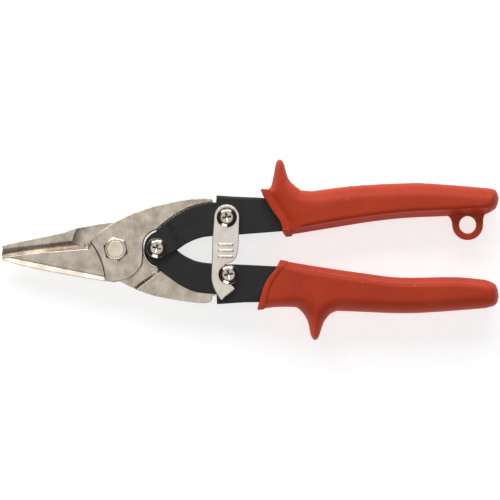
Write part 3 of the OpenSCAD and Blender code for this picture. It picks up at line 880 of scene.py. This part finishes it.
screw_over_arm = screw_solid(ARM_OUT, end_at=-9.6, thread_at=-5, cross_turn=-15)
screw_in_latch = screw_solid(LATCH_TOP + 0.05, end_at=-7.8, thread_at=-3, cross_turn=10)
catch_screw = screw_solid(LATCH_TOP + 0.05, end_at=-7.8, thread_at=-3, cross_turn=10, neck=(1.6, 5.0))
tail_nut = nut_solid(across=9.6, height=3.2, bore=3.06, corner=0)

fastener("pivot_bolt", "front_jaw", bolt_solid, 6.6, -MID_Z, BOSS_T + BOLT_HEAD)
fastener("pivot_nut", "front_jaw", nut_solid(across=13, height=5.2, bore=4.06, corner=0),
         7.6, 0, 5.2, 0.22, 0)
fastener("handle_screw", "upper_handle", screw_over_arm, 5.3, -MID_Z, ARM_OUT + 2.4)
fastener("handle_nut", "upper_handle", nut_solid(across=9.6, height=3.1, bore=3.06, corner=0),
         5.7, 0, 3.1, 0.2, 0)
fastener("upper_tail_screw", "upper_handle", screw_in_latch, 5.3, -8, 9.7)
fastener("upper_tail_nut", "upper_handle", tail_nut, 5.7, 0, 3.2, 0.2, MID_Z - 8)
fastener("lower_catch_screw", "lower_handle", catch_screw, 5.3, -8, 9.7)
fastener("lower_tail_nut", "lower_handle", tail_nut, 5.7, 0, 3.2, 0.2, MID_Z - 8)


# ---- opening spring ----

def sweep(path, r, sides=14):
    """A round wire along a path, with rounded ends."""
    path = np.array(path)
    along = np.gradient(path, axis=0)
    along /= np.linalg.norm(along, axis=1)[:, None]
    side = np.cross(along, (0, 0, 1))
    side /= np.linalg.norm(side, axis=1)[:, None]
    up = np.cross(side, along)
    radii = np.full(len(path), r)
    radii[0] = radii[-1] = 0.6 * r
    a = np.arange(sides) * 2 * math.pi / sides
    rings = (path[:, None] + radii[:, None, None] * (np.cos(a)[None, :, None] * side[:, None]
                                                      + np.sin(a)[None, :, None] * up[:, None]))
    faces = [[i * sides + k, i * sides + (k + 1) % sides,
              (i + 1) * sides + (k + 1) % sides, (i + 1) * sides + k]
             for i in range(len(path) - 1) for k in range(sides)]
    last = (len(path) - 1) * sides
    faces += [list(range(sides))[::-1], [last + k for k in range(sides)]]
    return rings.reshape(-1, 3), faces


COIL_R = 7.6
COIL_LEAN = (0.3, 1.45)  # how far the top turn sits off the bottom one
COIL_TURNS = 2.63
COIL_PITCH = 1.51
WIRE_R = 0.78
COIL_STEPS = 126


def coil_point(t):
    a = math.radians(66 + 360 * t)
    lean = 1 - t / COIL_TURNS
    return np.array([COIL_CENTRE[0] + COIL_LEAN[0] * lean + COIL_R * math.cos(a),
                     COIL_CENTRE[1] + COIL_LEAN[1] * lean + COIL_R * math.sin(a),
                     COIL_PITCH * (COIL_TURNS / 2 - t)])


def leg(tip, inner, length):
    """A short straight leg that runs on from the coil, level."""
    way = (tip - inner) * (1, 1, 0)
    way /= np.linalg.norm(way)
    return [tip + way * length * k / 6 for k in range(1, 7)]


coil = [coil_point(i * COIL_TURNS / COIL_STEPS) for i in range(COIL_STEPS + 1)]
wire = leg(coil[0], coil[1], 4.5)[::-1] + coil + leg(coil[-1], coil[-2], 4.5)
points, faces = sweep(wire, WIRE_R)
piece(mesh_object("opening_spring_wire", points, faces, (0, 0, MID_Z)), "upper_handle", "spring_steel",
      "opening_spring")


# ---- floor, lights and camera ----

scene = bpy.context.scene
low, high = cad_box
middle = (low + high) / 2

bpy.ops.mesh.primitive_plane_add(size=4, location=(middle.x, middle.y, low.z - 0.0002))
floor = bpy.context.object
floor.name = "floor"
floor.data.materials.append(floor_paper("floor paper"))


def area_light(name, place, size, power):
    data = bpy.data.lights.new(name, "AREA")
    data.shape = "RECTANGLE"
    data.size, data.size_y = size
    data.energy = power
    light = bpy.data.objects.new(name, data)
    light.location = place
    light.rotation_euler = (Vector(middle) - Vector(place)).to_track_quat("-Z", "Y").to_euler()
    scene.collection.objects.link(light)


area_light("key", (middle.x - 0.1, 0.8, 0.55), (1.3, 0.45), 8.5)
area_light("low card", (middle.x - 0.27, -0.8, 0.28), (0.5, 0.22), 1.3)

# The studio's walls: bright overhead, dark towards the horizon
world = bpy.data.worlds.new("studio")
world.use_nodes = True
sky = world.node_tree
background = sky.nodes["Background"]
direction = sky.nodes.new("ShaderNodeTexCoord").outputs["Generated"]
height_of = sky.nodes.new("ShaderNodeSeparateXYZ")
sky.links.new(direction, height_of.inputs["Vector"])
sky.links.new(ramp(sky, height_of.outputs["Z"], [(0.0, 0.02), (0.68, 0.04), (0.88, 0.38), (0.99, 0.95)]),
              background.inputs["Color"])
background.inputs["Strength"].default_value = 0.98
scene.world = world

aim = (0.0669, -0.0003, 0.014)   # the point in the middle of the picture
camera_height = 1.0
seen_width = 0.2495
camera = bpy.data.objects.new("camera", bpy.data.cameras.new("camera"))
camera.data.lens = camera.data.sensor_width * camera_height / seen_width
camera.location = (aim[0], aim[1], aim[2] + camera_height)
camera.rotation_euler = (0, 0, 0)
scene.collection.objects.link(camera)
scene.camera = camera

scene.view_settings.view_transform = "Standard"
